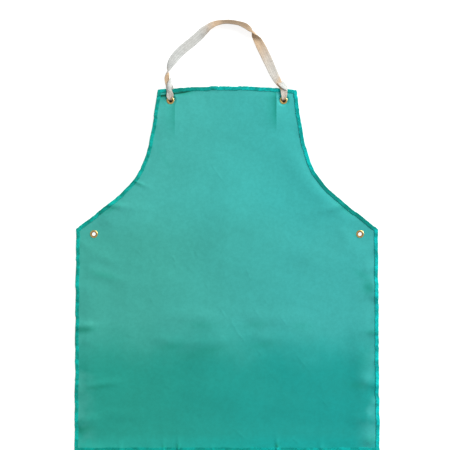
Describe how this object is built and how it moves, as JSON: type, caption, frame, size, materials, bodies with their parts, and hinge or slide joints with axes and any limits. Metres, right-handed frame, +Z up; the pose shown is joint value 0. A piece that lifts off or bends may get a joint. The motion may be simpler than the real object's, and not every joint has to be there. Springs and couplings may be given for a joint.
{
  "type": "welding apron",
  "caption": "Flat-laid bib apron for welding: cotton panel with curved armholes, overlocked edges, brass grommets at bib and waist, and a tied cotton tape neck strap that swings over the bib.",
  "frame": {"origin": "middle of the whole object's box, neck strap included, on the surface that the apron lies on", "axes": "+X to the right of the face, +Y from the hem towards the neck strap, +Z up out of the apron's face as it lies flat"},
  "size_m": [0.61, 0.862, 0.019],
  "materials": {
    "fr_cotton": "sateen cotton, soft sheen, slightly mottled teal green",
    "overlock_thread": "matte thread, darker and stronger green than the cloth",
    "brass": "polished brass",
    "cotton_tape": "natural cotton twill tape, matte"
  },
  "bodies": {
    "apron": {"apron_panel": "fr_cotton", "top_overlock": "overlock_thread", "left_armhole_overlock": "overlock_thread", "right_armhole_overlock": "overlock_thread", "left_side_overlock": "overlock_thread", "right_side_overlock": "overlock_thread", "hem_overlock": "overlock_thread", "left_bib_grommet_eyelet": "brass", "left_bib_grommet_washer": "brass", "right_bib_grommet_eyelet": "brass", "right_bib_grommet_washer": "brass", "left_waist_grommet_eyelet": "brass", "left_waist_grommet_washer": "brass", "right_waist_grommet_eyelet": "brass", "right_waist_grommet_washer": "brass", "left_grommet_loop": "cotton_tape", "right_grommet_loop": "cotton_tape"},
    "neck_strap": {"neck_strap": "cotton_tape", "left_knot": "cotton_tape", "right_knot": "cotton_tape", "left_tape_tail": "cotton_tape", "right_tape_tail": "cotton_tape"}
  },
  "joints": [
    {"name": "neck_strap_swing", "type": "hinge", "parent": "apron", "child": "neck_strap", "pos_m": [0, 0.3015, 0.0045], "axis": [1, 0, 0], "range_deg": [0, 150]}
  ]
}
